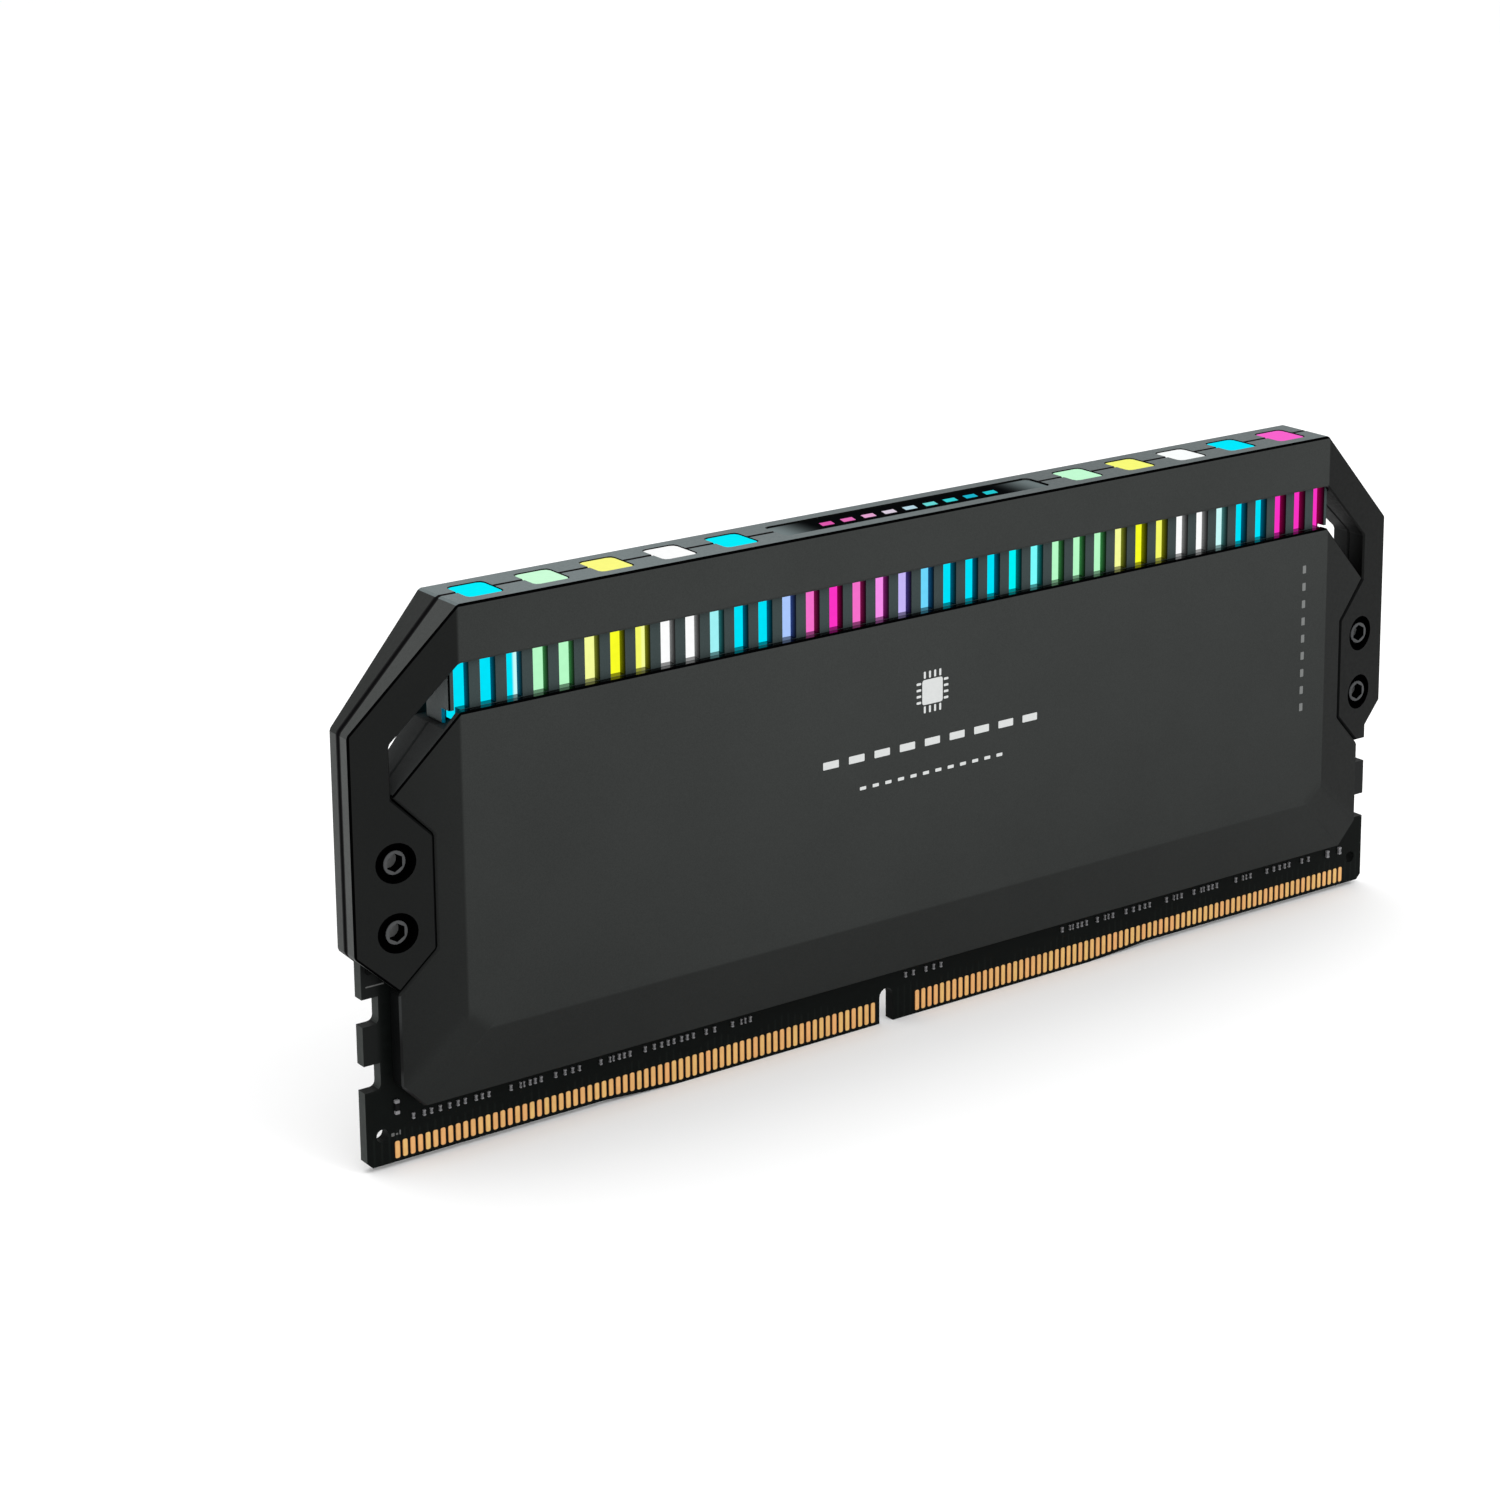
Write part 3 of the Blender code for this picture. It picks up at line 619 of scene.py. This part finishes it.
def gold():
    m = Mat("finger_gold", Specular_IOR_Level=0.4)
    # each finger takes its own tint: plating thickness differs a little from pad to pad
    along, out = finger_place(m)
    cell = m.node("ShaderNodeTexWhiteNoise", noise_dimensions="1D")
    m.put(cell.inputs["W"], m.math("FLOOR", along))
    tint = m.mix(cell.outputs["Value"], srgb(220, 178, 104), srgb(224, 163, 101))
    tint = m.mix(m.ramp(m.noise(900, 3, 0.6), 0.35, 0.75, 0.0, 0.35), tint, srgb(194, 144, 84))
    # each finger is darker and redder towards its long edges
    m.set(Base_Color=m.mix(m.ramp(out, 0.20, 0.36), tint, srgb(172, 108, 52)),
          Roughness=m.ramp(m.noise(3000), 0.3, 0.7, 0.35, 0.5))
    m.bump(m.noise(5000), 0.08)
    return m.m


def build_fingers():
    mat = gold()
    for side, s in (("front", -1), ("rear", 1)):
        for bank, places in FINGER_BANKS.items():
            bm = bmesh.new()
            for k in places:
                x = FIRST_FINGER_X + FINGER_PITCH * k
                pts = rounded(x - FINGER_W / 2, x + FINGER_W / 2, edge_height(x) + FINGER_LOW, FINGER_TOP,
                              FINGER_CORNER)
                add_prism(bm, pts, s * (BOARD_Y + 0.001), s * (BOARD_Y + 0.055), 0, 0.03, 0.02)
            piece = new_piece(f"fingers_{side}_{bank}", bm, [mat], 25)
            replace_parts(piece, f"contacts_{side}_{bank}")


# ------------------------------------------------------------------ nodes that keep the CAD's shape
def board_material():
    """Black solder mask over a faint weave, paler along the routed edge and, as painted light, on the end
    tabs.
    """
    m = Mat("solder_mask", Specular_IOR_Level=0.03)
    x, _, z = m.xyz()
    across = m.math("ABSOLUTE", x)
    weave = m.noise(600, stretch=(1, 1, 3))
    face = m.mix(weave, srgb(9, 11, 10), srgb(13, 16, 15))
    # copper runs under the mask climb a little way from every contact, some further than others
    uneven = m.math("ADD", z, m.math("MULTIPLY", m.noise(260, 0), 0.003))
    run = m.math("MULTIPLY", m.ramp(finger_place(m)[1], 0.10, 0.16, 1.0, 0.0),
                 m.ramp(uneven, 0.0048, 0.0052, 1.0, 0.0))
    face = m.mix(m.math("MULTIPLY", run, 0.5), face, srgb(21, 25, 23))
    # painted light: the end tabs, out of the shell's shade, are drawn paler, the left one less so
    tab = m.math("MULTIPLY", m.ramp(across, 0.0645, 0.0653), m.ramp(z, 0.0080, 0.0090))
    tab = m.math("MULTIPLY", tab, m.ramp(x, -0.001, 0.001, 0.4, 1.0))
    face = m.mix(tab, face, srgb(35, 36, 36))
    # the routed edge is paler, partly as bare board and partly as painted light: only where it faces along
    # the board and not inside the tooling holes, so the edges facing up or down and the hole walls keep the
    # dark mask as painted shade
    end = m.math("MAXIMUM", m.ramp(across, 0.0659, 0.0661), m.ramp(z, 0.0070, 0.0072))
    edge = m.math("MULTIPLY", m.ramp(m.math("ABSOLUTE", m.normal()[0]), 0.55, 0.8), end)
    routed = m.mix(m.noise(500, stretch=(1, 8, 1)), srgb(48, 51, 50), srgb(60, 63, 61))
    m.set(Base_Color=m.mix(edge, face, routed), Roughness=m.ramp(weave, 0.3, 0.7, 0.38, 0.5))
    m.bump(m.math("ADD", weave, run), 0.05)
    return m.m


def window_material():
    """Smoked glass, black in the middle and fading to the frame's grey at both ends."""
    m = Mat("smoked_glass", Specular_IOR_Level=0.0)
    x = m.xyz()[0]
    ends = m.math("MAXIMUM", m.ramp(x, -0.0172, -0.0118, 1.0, 0.0), m.ramp(x, 0.0118, 0.0172, 0.0, 0.92))
    n = m.noise(1200)
    smoke = m.mix(n, srgb(4, 5, 6), srgb(8, 9, 10))
    m.set(Base_Color=m.mix(m.math("POWER", ends, 1.5), smoke, srgb(102, 112, 113)),
          Roughness=m.ramp(n, 0.3, 0.7, 0.3, 0.4))
    return m.m


def carry():
    """Patterned materials for the nodes whose shape stays, by the slot that each one has."""
    table = {
        "board": board_material(),
        "chip": simple("chip_epoxy", srgb(26, 26, 27), 0.45),
        "coil": simple("coil_ferrite", srgb(58, 58, 60), 0.5),
        "thermal_pad": simple("pad_putty", srgb(120, 130, 140), 0.8),
        "lit_diffuser": simple("diffuser", srgb(200, 205, 208), 0.5),
        "smoked_window": window_material(),
        "led": simple("led_lens", srgb(230, 225, 190), 0.3),
        "connector": simple("connector_nylon", srgb(30, 30, 32), 0.5),
        "screw": simple("screw_steel", srgb(70, 72, 74), 0.35),
        "grille": FIN, "frame": FACE, "spreader": FACE, "contact_gold": FACE,
    }
    for ob in NODES.values():
        for slot in ob.material_slots:
            key = slot.material.name.split(".")[0]
            if key in table:
                slot.material = table[key]


# ------------------------------------------------------------------ small parts on the board
# the parts stand in groups above the contacts: x of each part from its group's first one
PAIR = (0.0, 1.05)
TRIO = (0.0, 0.7, 1.45)
SHORT = (0.0, 1.1, 1.6, 2.25)
WIDE = (0.0, 1.1, 2.0, 2.8, 3.5)
LONG = (0.0, 1.1, 1.5, 2.2, 2.8, 3.5)
SPREAD = (0.0, 1.2, 2.0, 3.0, 4.05, 5.0, 5.8)
SMD_GROUPS = ((-61.45, SPREAD), (-54.4, TRIO), (-50.4, LONG), (-45.2, WIDE[:4]), (-39.85, LONG),
              (-34.5, WIDE), (-30.05, TRIO), (-27.0, PAIR), (-23.7, SHORT), (-1.15, PAIR), (1.6, PAIR),
              (3.65, PAIR[:1]), (20.7, LONG), (25.8, SHORT), (30.0, WIDE), (36.05, SHORT), (40.2, LONG),
              (46.65, SHORT), (51.5, WIDE), (57.05, PAIR))
SMD_Z, SMD_TALL = 4.8, 0.62
SMD_W, SMD_NARROW_W, SMD_CLOSE = 0.3, 0.2, 0.55    # narrow where a neighbour is nearer than SMD_CLOSE


def add_smd(bm, s, x, z, w, h, thick=0.22, gap=0.4, middle=0):
    """A part soldered on: a body between two tinned ends one above the other, gap being the body's share."""
    y0, y1 = s * (BOARD_Y + 0.002), s * (BOARD_Y + thick)
    cap = h * (1 - gap) / 2
    for z0, z1, slim, mat in ((-h / 2, -h / 2 + cap, 0, 1), (-h / 2 + cap, h / 2 - cap, 0.03, middle),
                              (h / 2 - cap, h / 2, 0, 1)):
        pts = rounded(x - w / 2 + slim, x + w / 2 - slim, z + z0, z + z1, 0.05, 1)
        add_prism(bm, pts, y0, y1 - s * slim, mat, 0.03, 0.03)


def build_smds():
    """The small parts on both sides of the board, each side seen from its own front."""
    body = simple("part_ceramic", srgb(112, 112, 114), 0.6, 0.05)
    tin = simple("part_tin", srgb(126, 126, 128), 0.5, 0.05, vary=0.1)
    dark = simple("part_resistor", srgb(14, 14, 15), 0.6, 0.05)
    for side, s in (("front", -1), ("rear", 1)):
        bm = bmesh.new()
        for start, group in SMD_GROUPS:
            for i, offset in enumerate(group):
                gaps = [abs(offset - other) for other in group[max(i - 1, 0):i + 2] if other != offset]
                width = SMD_NARROW_W if min(gaps, default=SMD_CLOSE) < SMD_CLOSE else SMD_W
                add_smd(bm, s, -s * (start + offset) - 0.04, SMD_Z, width, SMD_TALL)
        for x in (61.1, 63.04):
            add_smd(bm, s, -s * x, 4.75, 0.42, 0.85, thick=0.3)
        add_smd(bm, s, s * 63.3, 6.2, 0.5, 1.5, thick=0.3, gap=0.52, middle=2)
        new_piece(f"board_parts_{side}", bm, [body, tin, dark])


def build_board_print():
    """White ink on the board: a short rule by the upper notch and three specks by the first contact."""
    ink = simple("board_ink", srgb(92, 93, 92), 0.6, 0.05, 3000)
    bm = bmesh.new()
    for x0, x1, z0, z1 in ((-66.2, -64.2, 19.02, 19.16), (-63.95, -63.6, 3.2, 3.55),
                           (-63.45, -63.2, 3.25, 3.45), (-63.05, -62.9, 3.2, 3.7)):
        add_prism(bm, rounded(x0, x1, z0, z1, 0.05, 1), -BOARD_Y - 0.002, -BOARD_Y - 0.012)
    new_piece("board_print", bm, [ink])


# ------------------------------------------------------------------ printed marks, all plain shapes
def build_marks():
    """A chip sign and two rows of dashes in the middle of the front, and a dim column at its right."""
    ink = simple("print_grey", srgb(198, 200, 199), 0.6, 0.05, 3000, 0.04)
    dim = simple("print_dim", srgb(112, 114, 113), 0.6, 0.05, 3000, 0.06)
    bm = bmesh.new()

    def bar(x, z, w, h, r=0.08, mat=0):
        outline = rounded(x - w / 2, x + w / 2, z - h / 2, z + h / 2, r, 2)
        add_prism(bm, outline, -HALF_THICK + 0.005, -HALF_THICK - 0.012, mat)
    sign_z = 36.9
    bar(0.0, sign_z, 2.7, 2.7, 0.25)
    for i in range(4):
        leg = -1.02 + 0.68 * i
        for side in (1, -1):
            bar(leg, sign_z + 1.875 * side, 0.26, 0.75)
        for side in (-1, 1):
            bar(1.8 * side, sign_z + leg, 0.6, 0.26)
    for i in range(9):
        bar(-13.2 + 3.3 * i, 31.45, 2.0, 0.8)
    for i in range(12):
        bar(-9.1 + 1.65 * i, 28.125, 0.8, 0.35, 0.06)
    for i in range(9):
        bar(53.2, 41.1 - 2.02 * i, 0.5, 0.9, 0.06, 1)
    new_piece("front_print", bm, [ink, dim])


# ------------------------------------------------------------------ screws
SCREW_SIDES = 24
# a cap screw's rings from its tip out to its face, as radius and distance from the middle plane
SCREW_PROFILE = ((SHAFT_R, 0.8), (SHAFT_R, 1.13), (HEAD_R - 0.03, 1.13), (HEAD_R, 1.2), (HEAD_R, 2.25),
                 (HEAD_R - 0.03, 2.31), (HEAD_R - 0.08, 2.33))
# and the six-sided rings of its socket, from the face down to the floor
SOCKET_PROFILE = ((SOCKET_R + 0.02, 2.33), (SOCKET_R, 2.3), (SOCKET_R, 1.17))


def screw_ring(bm, x, z, radius, y, six_sided):
    out = []
    for i in range(SCREW_SIDES):
        a = 2 * math.pi * i / SCREW_SIDES
        r = radius / math.cos((a + math.pi / 6) % (math.pi / 3) - math.pi / 6) if six_sided else radius
        out.append(bm.verts.new(((x + r * math.cos(a)) * MM, y * MM, (z + r * math.sin(a)) * MM)))
    return out


def build_screws():
    # One steel drawn in three copies: the head's face grey, the socket's floor painted paler as light, and
    # the head's sides and the socket's walls black as painted shade.
    rim = simple("screw_rim", srgb(69, 70, 71), 0.45, 0.05, 2500, 0.1)
    floor = simple("screw_socket", srgb(104, 105, 105), 0.5, 0.05, 2500, 0.2)
    black = painted_shade_black("screw_black", 0.6, 3, 0.0)
    # black but for the head's last bands and the socket's floor; the last two are the tip and the floor
    skin = [2] * 4 + [0] * 3 + [2] * 2 + [2, 1]
    for side, s in (("front", -1), ("rear", 1)):
        for x, lr in ((-SCREW_X, "left"), (SCREW_X, "right")):
            for z, ul in zip(SCREW_Z, ("lower", "upper")):
                bm = bmesh.new()
                rings = [screw_ring(bm, x, z, r, s * y, False) for r, y in SCREW_PROFILE]
                rings += [screw_ring(bm, x, z, r, s * y, True) for r, y in SOCKET_PROFILE]
                join(bm, rings, skin)
                piece = new_piece(f"cap_screw_{side}_{lr}_{ul}", bm, [rim, floor, black], 30)
                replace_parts(piece, f"screw_{side}_{lr}_{ul}")


# ------------------------------------------------------------------ the sign behind the smoked window
SIGN = ((222, 88, 172), (228, 112, 184), (228, 164, 208), (218, 206, 222), (186, 216, 228), (104, 216, 214),
        (56, 208, 212), (28, 180, 204), (36, 200, 210))


def build_sign():
    """Nine plain dashes glowing through the smoked window, magenta to white to cyan."""
    bm = bmesh.new()
    for i in range(len(SIGN)):
        x = -10.8 + 2.68 * i
        dash = [(x - 0.9, -0.55), (x + 0.6, -0.55), (x + 0.9, 0.55), (x - 0.6, 0.55)]
        add_tile(bm, dash, WINDOW_Z - 0.04, WINDOW_Z + 0.02, i)
    mats = [lamp(f"sign_{i}", srgb(*colour)) for i, colour in enumerate(SIGN, 1)]
    new_piece("window_sign", bm, mats)


# ------------------------------------------------------------------ studio
FLOOR_HALF = 6             # metres


def build_floor():
    bm = bmesh.new()
    bmesh.ops.create_grid(bm, x_segments=1, y_segments=1, size=FLOOR_HALF)
    me = bpy.data.meshes.new("floor")
    bm.to_mesh(me)
    bm.free()
    floor = link(bpy.data.objects.new("floor", me))
    m = Mat("floor_paper", Roughness=0.9, Specular_IOR_Level=0.1)
    m.set(Base_Color=m.mix(m.noise(40), srgb(250, 250, 250), srgb(252, 252, 252)))
    me.materials.append(m.m)


def build_lamps():
    """A white surround and two soft square lights, one from the front and one from above."""
    world = bpy.data.worlds.new("studio")
    bpy.context.scene.world = world
    world.use_nodes = True
    white = world.node_tree.nodes["Background"]
    white.inputs["Color"].default_value = (1, 1, 1, 1)
    white.inputs["Strength"].default_value = 1.0
    aim = Vector((0, 0, 0.03))
    for name, place, size, power in (("key", (0.30, -0.55, 0.55), 0.5, 2.0),
                                     ("top", (-0.1, 0.1, 0.8), 0.6, 1.5)):
        data = bpy.data.lights.new(name, "AREA")
        data.shape, data.size, data.energy = "SQUARE", size, power
        ob = link(bpy.data.objects.new(name, data))
        ob.location = place
        ob.rotation_mode = "QUATERNION"
        ob.rotation_quaternion = (aim - Vector(place)).to_track_quat("-Z", "Y")


make_camera()
build_lamps()
build_floor()
build_shell()
build_bar()
build_windows()
build_fingers()
build_smds()
build_board_print()
build_marks()
build_screws()
build_sign()
carry()
scene = bpy.context.scene
scene.view_settings.view_transform = "Standard"
scene.view_settings.look = "None"
